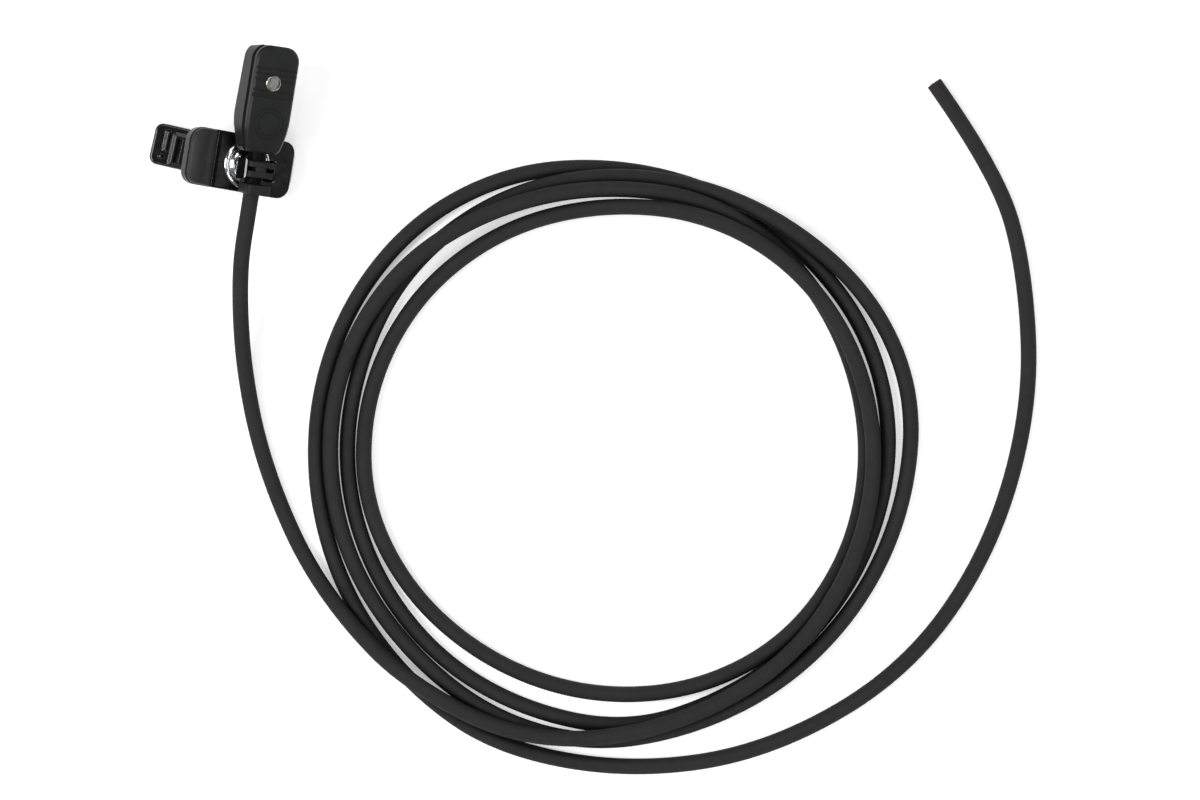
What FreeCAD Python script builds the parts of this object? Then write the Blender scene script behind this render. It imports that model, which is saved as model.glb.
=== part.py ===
import FreeCAD, Part
import math
import os

# Miniature rectangular lavalier microphone, held by its strain relief in a
# cradle that swivels on the upper jaw of a small sprung tie clip, with its
# thin cable loosely coiled beside it. Millimetres. +Z up, the clip and the
# cable lie on the plane z = 0. +X is the clip's length, towards the jaw's tip,
# +Y is the microphone's length, towards its top end.

os.makedirs("parts", exist_ok=True)

V = FreeCAD.Vector
Y_AXIS = V(0, 1, 0)

# ---------------------------------------------------------------- dimensions
ORIGIN_X = -3.431       # the drawing's x of the row origin
ORIGIN_Y = 4.826        # the drawing's y of the row origin
CLIP_Y = -0.80          # centre line of the clip and the swivel
MIC_YAW = 2.2           # the microphone stands a little askew on the swivel, degrees
MIC_PITCH = 4.9         # its upper end is raised from the clip, degrees
MIC_SHIFT = 0.17        # it sits this far forward in its cradle

JAW_SLOPE = 28.5        # upper jaw above the table, degrees
LEVER_SLOPE = 36.0      # upper lever above the table, degrees
JAW_X, JAW_Z = 0.15, 5.56   # swivel centre on the upper jaw's top face
CLIP_W = 7.05           # width of jaws and levers
LEVER_OUT = 0.13        # the lever is this much wider on the microphone's side
PLATE_T = 1.2           # upper jaw thickness
LEVER_T = 1.1           # upper lever thickness
JAW_TIP = 6.2           # swivel centre to the jaw's tip, along the jaw
JAW_BEND = 3.9          # swivel centre to the bend into the lever
LEVER_L = 4.00          # bend to the lever's end
PAD_T = 0.9             # thumb pad thickness
PAD_END = 0.12          # the lever's end beyond the thumb pad
PAD_START = 0.57        # bend to the thumb pad

ARM_T = 1.2             # lower arm thickness
ARM_TIP_X = 5.45        # lower jaw's tip
ARM_TAIL_X = -12.30     # lower lever's end
TAIL_W = 5.20           # lower lever's width
TAIL_YAW = -3.8         # the lower lever's tail stands a little askew, degrees
TAIL_Y = 0.27           # its centre line at its end

PIN_X, PIN_Z = -2.3, 3.4    # hinge axis
PIN_R = 0.5
PIN_CLEAR = 0.03        # running clearance in the lower ears
EAR_R = 1.15
SPRING_WIRE_R = 0.20
SPRING_MEAN_R = 0.85

DISC_R = 3.1            # swivel disc
DISC_STEP_R = 2.45      # foot of its cone
RIVET_R = 0.80
SWIVEL_CLEAR = 0.05

AXIS_N = 2.64           # microphone's axis above the jaw's top face
MIC_W = 5.90            # microphone body width
MIC_T = 3.8             # microphone body thickness
MIC_Y0 = 0.60           # lower end of the neck
MIC_Y1 = 14.04          # upper end of the body
NECK_R = 0.80           # corners at the lower end
CORE_R = 1.15           # the strain relief's round core
TAPER_R = 15.0          # the sides curve in towards the lower end
TAPER_Y = 5.30          # where they start to
FACE_DROP = 0.42        # the face curves down towards the lower end by this
BACK = ((-1.0, -1.95), (0.6, -1.95), (2.2, -2.02), (3.6, -2.50), (5.0, -2.72), (7.0, -2.66), (9.5, -2.50), (12.0, -2.32), (13.42, -2.20))  # back of the body, (y, n)
TOP_R = 1.90            # corners of the upper end
SPLIT_N = 0.40          # lower edge of the groove round the waist
LID_N = 1.15            # parting plane between the two shells
WAIST = 0.34            # depth of the groove round the waist
WALL = 0.55
BEVEL = 0.28            # bevel round the face
PORT_Y = 9.36           # sound port on the face
PORT_T = -0.22
PORT_R = 0.98           # port ring outside radius
MARK_T = 0.08           # plain double ring low on the face
MARK_Y = 4.40
MARK_R = (2.02, 1.50)

CAPSULE_R = 2.10
CAPSULE_F = 1.05        # capsule front face, from the microphone's axis
CAPSULE_B = -0.95       # capsule rear face

CORD_R = 1.0            # cable radius
EXIT_Y = -4.62          # where the cable leaves the strain relief

COIL_H = 5.4            # height of the loose coil's turns over the table


# ------------------------------------------------------------------- helpers
def deg(a):
    return math.radians(a)


def frame(x, y, z, slope):
    """Local x runs down a slope towards +X, local z is its normal."""
    return FreeCAD.Placement(V(x, y, z), FreeCAD.Rotation(Y_AXIS, slope))


JAW = frame(JAW_X, CLIP_Y, JAW_Z, JAW_SLOPE)
SWIVEL = JAW.multiply(FreeCAD.Placement(V(0, 0, 0), FreeCAD.Rotation(V(0, 0, 1), MIC_YAW)))
MIC = SWIVEL.multiply(FreeCAD.Placement(V(0, MIC_SHIFT, AXIS_N), FreeCAD.Rotation(V(1, 0, 0), MIC_PITCH)))
MIC = MIC.multiply(FreeCAD.Placement(V(0, 0.80, 0), FreeCAD.Rotation()))
BEND = JAW.multVec(V(-JAW_BEND, 0, 0))
LEVER = frame(BEND.x, BEND.y, BEND.z, LEVER_SLOPE)
TABLE = FreeCAD.Placement()


def placed(shape, place):
    s = shape.copy()
    s.transformShape(place.toMatrix(), True)
    return s


def box(x0, x1, y0, y1, z0, z1):
    return Part.makeBox(x1 - x0, y1 - y0, z1 - z0, V(x0, y0, z0))


def cyl(r, p, d, h):
    return Part.makeCylinder(r, h, V(*p), V(*d))


def tube(ro, ri, p, d, h):
    return cyl(ro, p, d, h).cut(cyl(ri, p, d, h))


def rounded_outline(x0, x1, y0, y1, radii):
    """Face of a rectangle in local xy; radii at (x0y0, x1y0, x1y1, x0y1)."""
    ra, rb, rc, rd = radii
    pts = []
    k = math.sqrt(0.5)

    def arc(cx, cy, r, a0):
        a1 = a0 + 90
        am = a0 + 45
        f = lambda a: V(cx + r * math.cos(deg(a)), cy + r * math.sin(deg(a)), 0)
        return f(a0), f(am), f(a1)

    corners = [arc(x0 + ra, y0 + ra, ra, 180), arc(x1 - rb, y0 + rb, rb, 270),
               arc(x1 - rc, y1 - rc, rc, 0), arc(x0 + rd, y1 - rd, rd, 90)]
    edges = []
    for i, (a, m, b) in enumerate(corners):
        edges.append(Part.Arc(a, m, b).toShape())
        nxt = corners[(i + 1) % 4][0]
        if b.distanceToPoint(nxt) > 1e-6:
            edges.append(Part.LineSegment(b, nxt).toShape())
    return Part.Face(Part.Wire(edges))


def slab(x0, x1, y0, y1, z0, z1, radii):
    if not isinstance(radii, (tuple, list)):
        radii = (radii,) * 4
    f = rounded_outline(x0, x1, y0, y1, radii)
    f.translate(V(0, 0, z0))
    return f.extrude(V(0, 0, z1 - z0))


def polygon_y(pts, y0, y1):
    """Prism along Y with the given (x, z) outline."""
    w = Part.makePolygon([V(x, y0, z) for x, z in pts] + [V(pts[0][0], y0, pts[0][1])])
    return Part.Face(w).extrude(V(0, y1 - y0, 0))


def top_edges(shape, z, tol=1e-4):
    out = []
    for e in shape.Edges:
        b = e.BoundBox
        if abs(b.ZMin - z) < tol and abs(b.ZMax - z) < tol:
            out.append(e)
    return out


PIECES = {}


def keep(name, shape, place=TABLE):
    """One node: placed, moved to the row's origin and checked."""
    s = placed(shape, place)
    s.translate(V(-ORIGIN_X, -ORIGIN_Y, 0))
    sol = s.Solids
    if len(sol) == 1:
        s = sol[0]
    else:
        s = Part.makeCompound(sol)
    PIECES[name] = s
    return s


# ------------------------------------------------------------ microphone body
hw = MIC_W / 2
ht = MIC_T / 2


def body_outline(d):
    """Outline of the body, curved in towards its lower end, drawn in by d."""
    rb = NECK_R - d
    rt = TOP_R - d
    big = V(hw - TAPER_R, TAPER_Y, 0)       # centre of the side's long arc
    cy = MIC_Y0 + NECK_R
    cx = big.x + math.sqrt((TAPER_R - NECK_R) ** 2 - (TAPER_Y - cy) ** 2)
    low = V(cx, cy, 0)                      # centre of the lower corner
    phi = math.atan2(cy - TAPER_Y, cx - big.x)

    def on(c, rad, a):
        return V(c.x + rad * math.cos(a), c.y + rad * math.sin(a), 0)

    mid = (phi - math.pi / 2) / 2
    top = V(hw - d - rt, MIC_Y1 - d - rt, 0)
    right = [
        ("arc", on(low, rb, -math.pi / 2), on(low, rb, mid), on(low, rb, phi)),
        ("arc", on(big, TAPER_R - d, phi), on(big, TAPER_R - d, phi / 2), on(big, TAPER_R - d, 0.0)),
        ("arc", on(top, rt, 0.0), on(top, rt, math.pi / 4), on(top, rt, math.pi / 2)),
    ]
    left = [("arc", V(-c.x, c.y, 0), V(-b.x, b.y, 0), V(-a.x, a.y, 0)) for _, a, b, c in reversed(right)]
    edges = []
    run = right + left
    for i, (_, a, b, c) in enumerate(run):
        edges.append(Part.Arc(a, b, c).toShape())
        nxt = run[(i + 1) % len(run)][1]
        if c.distanceToPoint(nxt) > 1e-6:
            edges.append(Part.LineSegment(c, nxt).toShape())
    return Part.Face(Part.Wire(edges))


def body_slab(d, z0, z1):
    f = body_outline(d)
    f.translate(V(0, 0, z0))
    return f.extrude(V(0, 0, z1 - z0))


def cavity(d, z0, z1):
    return slab(-hw + WALL + d, hw - WALL - d, TAPER_Y + d, MIC_Y1 - WALL - d, z0, z1, 0.9)


bore_neck = cyl(CORE_R + 0.01, (0, MIC_Y0 - 0.5, 0), (0, 1, 0), TAPER_Y + 0.6 - MIC_Y0)
bore_neck = bore_neck.fuse(cyl(1.30, (0, 2.20, 0), (0, 1, 0), TAPER_Y + 0.6 - 2.20))
bore_neck = bore_neck.fuse(cyl(1.52, (0, 3.36, 0), (0, 1, 0), TAPER_Y + 0.6 - 3.36))

# rear shell: a tray with a full back and a groove round its waist
back = Part.BSplineCurve()
back.interpolate([V(0, y, n) for y, n in BACK])
ends = [V(0, MIC_Y1 - 0.16, 0.30), V(0, MIC_Y1 + 0.06, 1.2), V(0, BACK[0][0], 1.2)]
side = Part.Wire([back.toShape(), Part.LineSegment(V(0, *BACK[-1]), ends[0]).toShape(),
                  Part.LineSegment(ends[0], ends[1]).toShape(), Part.LineSegment(ends[1], ends[2]).toShape(),
                  Part.LineSegment(ends[2], V(0, *BACK[0])).toShape()])
side = Part.Face(side)
side.translate(V(-5, 0, 0))
side = side.extrude(V(10, 0, 0))
rear = body_slab(0.0, -3.5, SPLIT_N).common(side)
back_edges = []
for e in rear.Edges:
    q = e.valueAt((e.FirstParameter + e.LastParameter) / 2)
    if e.BoundBox.ZMax < -1.5:
        back_edges.append(e)
rear = rear.makeFillet(0.50, back_edges)
rear = rear.fuse(body_slab(WAIST, SPLIT_N - 0.3, LID_N)).cut(cavity(0.0, -ht + WALL, LID_N + 1)).cut(bore_neck)
rear = rear.removeSplitter()
keep("rear_housing", rear, MIC)

# front shell: a bevelled lid with a locating rim, the sound port, shallow
# grooves across the face and a plain double ring
face_r = ((TAPER_Y - MIC_Y0) ** 2 + FACE_DROP ** 2) / (2 * FACE_DROP)


def under_face(depth):
    """Everything behind the face, lowered by depth: flat, then curving down."""
    z = ht - depth
    c = V(0, TAPER_Y, z - face_r)
    half = math.asin((TAPER_Y + 1.0) / face_r)

    def at(a):
        return V(0, c.y - face_r * math.sin(a), c.z + face_r * math.cos(a))

    w = Part.Wire([Part.Arc(at(half), at(half / 2), at(0.0)).toShape(), Part.LineSegment(at(0.0), V(0, 16, z)).toShape(),
                   Part.LineSegment(V(0, 16, z), V(0, 16, -2)).toShape(), Part.LineSegment(V(0, 16, -2), V(0, at(half).y, -2)).toShape(),
                   Part.LineSegment(V(0, at(half).y, -2), at(half)).toShape()])
    f = Part.Face(w)
    f.translate(V(-5, 0, 0))
    return f.extrude(V(10, 0, 0))


front = body_slab(0.06, LID_N, ht + 1).common(under_face(0.0))
around = []
for e in front.Edges:
    q = e.valueAt((e.FirstParameter + e.LastParameter) / 2)
    if q.z > LID_N + 0.20 and not (abs(q.x) < 0.01 and abs(q.y - TAPER_Y) < 0.05) and e.BoundBox.ZLength < 0.30:
        if not (e.BoundBox.ZLength > 0.9 * (ht - LID_N)):
            around.append(e)
front = front.makeChamfer(BEVEL, around)
rim = cavity(0.03, LID_N - 0.30, ht - WALL + 0.05).cut(cavity(0.33, -5, 5))
rim = rim.cut(cyl(CAPSULE_R + 0.06, (PORT_T, PORT_Y, -5), (0, 0, 1), 10))
front = front.cut(cavity(0.33, 0, ht - WALL)).fuse(rim)
front = front.cut(bore_neck)
front = front.cut(cyl(PORT_R, (PORT_T, PORT_Y, 0), (0, 0, 1), ht + 1))
for off, gw, gd in ((1.75, 0.26, 0.13), (1.08, 0.26, 0.13), (0.40, 0.26, 0.13), (-0.95, 0.26, 0.13), (-1.60, 0.40, 0.17)):
    front = front.cut(box(-hw, hw, PORT_Y + off - gw / 2, PORT_Y + off + gw / 2, ht - gd, ht + 1))
for r, wide in zip(MARK_R, (0.24, 0.15)):
    front = front.cut(tube(r, r - wide, (MARK_T, MARK_Y, ht - 1.0), (0, 0, 1), 2.0).cut(under_face(0.10)))
keep("front_housing", front, MIC)

# sound port: a flanged ring, countersunk down to the mesh
def turned(points, x, y):
    """Solid of revolution about the local z at (x, y), from (radius, z) points."""
    w = Part.makePolygon([V(x + r, y, z) for r, z in points] + [V(x + points[0][0], y, points[0][1])])
    return Part.Face(w).revolve(V(x, y, 0), V(0, 0, 1), 360)


ring = turned([(PORT_R, ht - WALL), (PORT_R, ht + 0.05), (PORT_R - 0.05, ht + 0.09), (0.89, ht + 0.09), (0.86, ht + 0.05),
               (0.68, ht - 0.26), (0.68, ht - WALL)], PORT_T, PORT_Y)
keep("port_ring", ring, MIC)
keep("port_mesh", cyl(0.68, (PORT_T, PORT_Y, ht - 0.38), (0, 0, 1), 0.10), MIC)
keep("capsule_seal", tube(1.85, 0.95, (PORT_T, PORT_Y, CAPSULE_F), (0, 0, 1), ht - WALL - CAPSULE_F), MIC)

# electret capsule, its axis along the sound port's
cx, cy = PORT_T, PORT_Y


def cdisc(r, z0, z1):
    return cyl(r, (cx, cy, z0), (0, 0, 1), z1 - z0)


def cring(ro, ri, z0, z1):
    return cdisc(ro, z0, z1).cut(cdisc(ri, z0, z1))


can = cdisc(CAPSULE_R, CAPSULE_B, CAPSULE_F).cut(cdisc(CAPSULE_R - 0.12, CAPSULE_B + 0.10, CAPSULE_F - 0.12))
can = can.cut(cdisc(1.75, CAPSULE_B - 1, CAPSULE_B + 0.5)).cut(cdisc(0.55, CAPSULE_F - 0.5, CAPSULE_F + 1))
RI = CAPSULE_R - 0.12
keep("capsule_can", can, MIC)
keep("diaphragm_ring", cring(RI, 1.75, 0.77, CAPSULE_F - 0.12), MIC)
keep("diaphragm", cdisc(RI, 0.72, 0.77), MIC)
keep("capsule_spacer", cring(RI, 1.80, 0.64, 0.72), MIC)
plate = cdisc(1.85, 0.34, 0.64)
for i in range(6):
    a = deg(60 * i)
    plate = plate.cut(cyl(0.14, (cx + 1.1 * math.cos(a), cy + 1.1 * math.sin(a), 0), (0, 0, 1), 1))
keep("backplate", plate, MIC)
holder_ring = cring(RI, 1.85, 0.34, 0.64).fuse(cring(RI, 1.55, -0.55, 0.34)).removeSplitter()
keep("backplate_holder", holder_ring, MIC)
keep("fet_transistor", box(cx - 0.6, cx + 0.6, cy - 0.45, cy + 0.45, -0.55, -0.10), MIC)
keep("capsule_board", cdisc(RI, CAPSULE_B + 0.10, -0.55), MIC)

# two insulated leads from the capsule's board to the cable
WIRE_R = 0.16
wire_n = CAPSULE_B - 0.05 - WIRE_R


def lead(tx):
    run = cyl(WIRE_R, (tx, 3.42, wire_n), (0, 1, 0), cy - 0.75 - 3.42)
    ball = Part.makeSphere(WIRE_R, V(tx, cy - 0.75, wire_n))
    post = cyl(WIRE_R, (tx, cy - 0.75, wire_n), (0, 0, 1), (CAPSULE_B + 0.10) - wire_n)
    return run.fuse(ball).fuse(post).removeSplitter()


keep("signal_lead", lead(cx - 0.40), MIC)
keep("ground_lead", lead(cx + 0.40), MIC)

# cable end held in the neck
keep("cable_stub", cyl(CORD_R, (0, EXIT_Y, 0), (0, 1, 0), 3.42 - EXIT_Y), MIC)
keep("crimp_sleeve", tube(1.28, CORD_R, (0, 2.35, 0), (0, 1, 0), 0.95), MIC)

# slotted strain relief: a thin core with broad ribs, so that it bends evenly


def block(w, n0, n1, y0, y1, r):
    f = slab(-w / 2, w / 2, n0, n1, 0, y1 - y0, r)
    f.rotate(V(0, 0, 0), V(1, 0, 0), -90)
    # the slab's y now runs along -z, so turn it over
    f.rotate(V(0, 0, 0), V(0, 1, 0), 180)
    f.translate(V(0, y0, 0))
    return f


relief = block(3.36, -1.22, 2.05, -2.40, -0.40, (0.50, 0.50, 0.30, 0.30))
for sx in (-1, 1):
    x0, x1 = sorted((sx * 0.72, sx * 2.0))
    relief = relief.cut(box(x0, x1, -1.60, -1.12, -3, 3))
relief = relief.fuse(cyl(CORE_R, (0, EXIT_Y, 0), (0, 1, 0), 1.70 - EXIT_Y))
relief = relief.fuse(block(3.00, -1.25, 2.30, EXIT_Y + 0.10, -3.27, (0.60, 0.60, 0.30, 0.30)))
relief = relief.cut(cyl(CORD_R, (0, EXIT_Y - 1, 0), (0, 1, 0), 9.0)).removeSplitter()
keep("strain_relief", relief, MIC)

# ------------------------------------------------------------------- cradle
# U-shaped cradle that grips the strain relief's broad rib and turns on the
# rivet. Built in the jaw's frame.
HB0, HB1 = 0.84, 1.16
CRADLE_T = 0.11             # it sits a little towards the jaw's tip
WALL_IN, WALL_OUT, WALL_TOP = 1.82, 2.07, 4.05
WALL_LEAN = 0.15            # the walls are this much thicker at their foot
CRADLE_R = 1.00             # outer radius of its lower corners
cy0, cy1 = -1.88, 0.76      # along Y, from the swivel's centre


def channel(half, n0, n1, r, lean=0.0):
    """Upright U outline (x, n): half width at the foot, floor, top, radius of
    the floor's corners. The walls lean in by lean towards their top."""
    k = math.sqrt(0.5)
    pts = [V(CRADLE_T - half + lean, cy0, n1), V(CRADLE_T - half, cy0, n0 + r), V(CRADLE_T - half + r * (1 - k), cy0, n0 + r * (1 - k)),
           V(CRADLE_T - half + r, cy0, n0), V(CRADLE_T + half - r, cy0, n0), V(CRADLE_T + half - r * (1 - k), cy0, n0 + r * (1 - k)),
           V(CRADLE_T + half, cy0, n0 + r), V(CRADLE_T + half - lean, cy0, n1)]
    return Part.Wire([Part.LineSegment(pts[0], pts[1]).toShape(), Part.Arc(pts[1], pts[2], pts[3]).toShape(),
                      Part.LineSegment(pts[3], pts[4]).toShape(), Part.Arc(pts[4], pts[5], pts[6]).toShape(),
                      Part.LineSegment(pts[6], pts[7]).toShape(), Part.LineSegment(pts[7], pts[0]).toShape()])


cradle = Part.Face(channel(WALL_OUT + WALL_LEAN, HB0, WALL_TOP, CRADLE_R, WALL_LEAN)).extrude(V(0, cy1 - cy0, 0))
cradle = cradle.cut(Part.Face(channel(WALL_IN, HB1, WALL_TOP + 1, CRADLE_R - 0.35)).extrude(V(0, cy1 - cy0, 0)))
cradle = cradle.makeChamfer(0.17, [e for e in cradle.Edges if abs(e.BoundBox.ZMin - WALL_TOP) < 1e-4 and e.BoundBox.YLength > 1
                                    and e.BoundBox.XMin - CRADLE_T < -(WALL_IN + WALL_OUT) / 2])
# its walls' upper corners are round
ends = rounded_outline(cy0, cy1, -1.0, WALL_TOP, (0.05, 0.05, 0.40, 0.40))
ends.rotate(V(0, 0, 0), V(1, 0, 0), 90)
ends.rotate(V(0, 0, 0), V(0, 0, 1), 90)
ends.translate(V(-5, 0, 0))
cradle = cradle.common(ends.extrude(V(10, 0, 0)))
cradle = cradle.cut(cyl(RIVET_R + SWIVEL_CLEAR, (0, 0, 0), (0, 0, 1), 3))
cradle = cradle.cut(cyl(1.25, (0, 0, 1.02), (0, 0, 1), 1)).removeSplitter()
keep("mic_cradle", cradle, SWIVEL)

# ------------------------------------------------------------------- swivel
disc = turned([(RIVET_R, 0.0), (DISC_R, 0.0), (DISC_R, 0.04), (DISC_R - 0.06, 0.11), (DISC_R - 0.16, 0.19), (DISC_R - 0.28, 0.25),
               (DISC_R - 0.40, 0.28), (DISC_R - 0.50, 0.285), (DISC_R - 0.58, 0.26), (DISC_STEP_R + 0.03, 0.20), (DISC_STEP_R, 0.17),
               (DISC_STEP_R - 0.14, 0.32), (DISC_STEP_R - 0.32, 0.48), (DISC_STEP_R - 0.52, 0.62), (DISC_STEP_R - 0.72, 0.71),
               (DISC_STEP_R - 0.88, 0.74), (RIVET_R, 0.74)], 0, 0)
keep("swivel_disc", disc, JAW)
keep("friction_washer", tube(1.45, RIVET_R, (0, 0, 0.74), (0, 0, 1), 0.08), JAW)
rivet = cyl(RIVET_R, (0, 0, -1.45), (0, 0, 1), 2.55)
head = cyl(1.18, (0, 0, 1.05), (0, 0, 1), 0.22)
head = head.makeFillet(0.12, top_edges(head, 1.27))
foot = cyl(1.25, (0, 0, -PLATE_T - 0.35), (0, 0, 1), 0.35)
foot = foot.makeFillet(0.15, top_edges(foot, -PLATE_T - 0.35))
rivet = rivet.fuse(head).fuse(foot).removeSplitter()
keep("swivel_rivet", rivet, JAW)

# ----------------------------------------------------------------- upper arm
hc = CLIP_W / 2
plate = slab(-JAW_BEND - 0.8, JAW_TIP, -hc, hc + LEVER_OUT, -PLATE_T, 0, (0.05, 1.65, 1.35, 0.05))
plate = plate.makeFillet(0.22, [e for e in top_edges(plate, 0.0) if e.BoundBox.XMax > -JAW_BEND - 0.5])
plate = placed(plate, JAW)
lever = slab(-LEVER_L, 0.9, -hc, hc + LEVER_OUT, -PAD_T - LEVER_T, -PAD_T, (1.6, 0.05, 0.05, 1.9))
lever = lever.makeFillet(0.22, [e for e in top_edges(lever, -PAD_T - LEVER_T) if e.BoundBox.XMax < 0.5])
# a raised band between the thumb pad and the bend
band = box(-PAD_START + 0.03, 0.9, -hc, hc + LEVER_OUT, -PAD_T - 0.2, 0.0)
band = band.makeFillet(0.22, [e for e in top_edges(band, 0.0) if e.BoundBox.XLength > 0.5])
lever = placed(lever.fuse(band), LEVER)
# the plate ends at the bend: trim what stands beyond the lever's plane
plate_cut = placed(box(-JAW_BEND - 5, -JAW_BEND, -hc - 1, hc + 1, -PLATE_T - 2, 3), JAW)
plate = plate.cut(plate_cut)
lev_cut = placed(box(-JAW_BEND, 5, -hc - 1, hc + 1, -5, 5), JAW)
lever = lever.cut(lev_cut)
# wedge that joins the lever to the plate behind the bend
p0 = JAW.multVec(V(-JAW_BEND, 0, 0))
p1 = JAW.multVec(V(-JAW_BEND, 0, -PLATE_T))
p2 = LEVER.multVec(V(-0.9, 0, -PAD_T - LEVER_T))
p3 = LEVER.multVec(V(-0.9, 0, -PAD_T))
p4 = LEVER.multVec(V(-PAD_START + 0.03, 0, -PAD_T))
knee = polygon_y([(q.x, q.z) for q in (p0, p1, p2, p3, p4)], CLIP_Y - hc, CLIP_Y + hc + LEVER_OUT)
arm = plate.fuse(lever).fuse(knee)
# flat-bottomed jaw end
jaw_end = polygon_y([(3.85, 1.27), (5.0, 1.27), (5.0, 1.75), (3.85, 2.40)], CLIP_Y - hc + 0.35, CLIP_Y + hc - 0.35)
jaw_end = jaw_end.common(slab(3.0, 5.0, CLIP_Y - hc + 0.35, CLIP_Y + hc - 0.35, 0, 4, (0.05, 1.05, 0.80, 0.05)))
arm = arm.fuse(jaw_end)


def ear(y0, y1, side):
    """Hinge ear, round at the pin, running up to the upper arm or down to the lower."""
    round_end = cyl(EAR_R, (PIN_X, y0, PIN_Z), (0, 1, 0), y1 - y0)
    if side == "up":
        a = JAW.multVec(V(-4.3, 0, -PLATE_T + 0.3))
        b = JAW.multVec(V(-1.3, 0, -PLATE_T + 0.3))
        web = polygon_y([(PIN_X - EAR_R, PIN_Z), (a.x, a.z), (b.x, b.z), (PIN_X + EAR_R, PIN_Z)], y0, y1)
    else:
        web = polygon_y([(PIN_X - EAR_R, PIN_Z), (PIN_X + EAR_R, PIN_Z), (PIN_X + 1.7, ARM_T - 0.3), (PIN_X - 1.7, ARM_T - 0.3)], y0, y1)
    return round_end.fuse(web).removeSplitter()


for sy in (-1, 1):
    ys = sorted((CLIP_Y + sy * 2.55, CLIP_Y + sy * 3.35))
    arm = arm.fuse(ear(ys[0], ys[1], "up"))
arm = arm.removeSplitter()
arm = arm.cut(cyl(PIN_R, (PIN_X, CLIP_Y - 5, PIN_Z), (0, 1, 0), 10))
arm = arm.cut(placed(cyl(RIVET_R, (0, 0, -4), (0, 0, 1), 8), JAW))
# teeth: three grooves across the flat jaw end
for gx in (4.14, 4.50, 4.86):
    arm = arm.cut(polygon_y([(gx - 0.11, 1.2), (gx + 0.11, 1.2), (gx, 1.40)], CLIP_Y - 4, CLIP_Y + 4))
arm = arm.removeSplitter()
keep("upper_arm", arm)

# thumb pad: soft pad on the lever, its edge just inside the lever's own
pad = slab(-LEVER_L + PAD_END, -PAD_START, -hc + 0.06, hc + LEVER_OUT - 0.06, -PAD_T, 0.0, (1.52, 0.15, 0.15, 1.82))
pad = pad.makeFillet(0.28, [e for e in top_edges(pad, 0.0) if e.BoundBox.XMin < -PAD_START - 0.2])
pad = placed(pad, LEVER)
keep("thumb_pad", pad)

# ----------------------------------------------------------------- lower arm
base = slab(-5.2, ARM_TIP_X, CLIP_Y - hc + 0.32, CLIP_Y + hc - 0.05, 0, ARM_T, (0.8, 2.3, 1.4, 0.8))
tail = slab(ARM_TAIL_X, -3.6, TAIL_Y - TAIL_W / 2, TAIL_Y + TAIL_W / 2, 0, ARM_T, (1.0, 0.05, 0.05, 1.0))
tail.rotate(V(ARM_TAIL_X, TAIL_Y, 0), V(0, 0, 1), TAIL_YAW)
low = base.fuse(tail).removeSplitter()
low = low.makeFillet(0.30, top_edges(low, ARM_T))
# a rib across the tail and a raised field with a pocket in it, both with
# gently sloped borders


def raised(x0, x1, y0, y1, rise, slopes, r):
    """Raised field on the arm, (x0, x1, y0, y1) at its foot. slopes gives the
    widths of its borders on the -X, +X, -Y and +Y sides."""
    under = 0.06 / rise
    a, b, c, d = slopes
    foot = rounded_outline(x0 - a * under, x1 + b * under, y0 - c * under, y1 + d * under, (r, r, r, r))
    foot.translate(V(0, 0, ARM_T - 0.06))
    rim = rounded_outline(x0 + a, x1 - b, y0 + c, y1 - d, (0.07, 0.07, 0.07, 0.07))
    rim.translate(V(0, 0, ARM_T + rise))
    return Part.makeLoft([foot.OuterWire, rim.OuterWire], True, True)


rib_tail = raised(-10.98, -10.24, TAIL_Y - 0.80, TAIL_Y + 1.95, 0.14, (0.38, 0.10, 0.25, 0.22), 0.34)
panel = raised(-9.93, -5.4, TAIL_Y - 2.36, TAIL_Y + 1.84, 0.15, (0.40, 0.10, 0.30, 0.40), 0.44)
panel_cut = slab(-9.22, -8.60, TAIL_Y - 1.92, TAIL_Y + 1.18, ARM_T - 0.36, ARM_T + 1.0, 0.16)
dot = Part.makeSphere(0.40, V(-11.05, -1.30, ARM_T - 0.25))
for q in (rib_tail, panel, panel_cut):
    q.rotate(V(ARM_TAIL_X, TAIL_Y, 0), V(0, 0, 1), TAIL_YAW)
low = low.fuse(rib_tail).fuse(panel).fuse(dot).cut(panel_cut)
for sy in (-1, 1):
    ys = sorted((CLIP_Y + sy * 1.65, CLIP_Y + sy * 2.45))
    low = low.fuse(ear(ys[0], ys[1], "down"))
low = low.cut(cyl(PIN_R + PIN_CLEAR, (PIN_X, CLIP_Y - 5, PIN_Z), (0, 1, 0), 10))
for gx in (3.96, 4.32, 4.68, 5.04):
    low = low.cut(polygon_y([(gx - 0.10, ARM_T + 0.1), (gx + 0.10, ARM_T + 0.1), (gx, ARM_T - 0.16)], CLIP_Y - 4, CLIP_Y + 4))
low = low.removeSplitter()
# the low end stands on z = 0
keep("lower_arm", low)

# --------------------------------------------------------------------- hinge
keep("hinge_pin", cyl(PIN_R, (PIN_X, CLIP_Y - 3.35, PIN_Z), (0, 1, 0), 6.70))

# torsion spring: close-wound turns round the pin, one leg to each lever
spring = None
turns = 6
pitch = 0.37
for i in range(turns):
    y = CLIP_Y + (i - (turns - 1) / 2) * pitch
    t = Part.makeTorus(SPRING_MEAN_R, SPRING_WIRE_R, V(PIN_X, y, PIN_Z), Y_AXIS)
    spring = t if spring is None else spring.fuse(t)
y_lo = CLIP_Y - (turns - 1) / 2 * pitch
y_up = CLIP_Y + (turns - 1) / 2 * pitch


def rod(a, b, r):
    d = b.sub(a)
    return Part.makeCylinder(r, d.Length, a, d)


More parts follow.
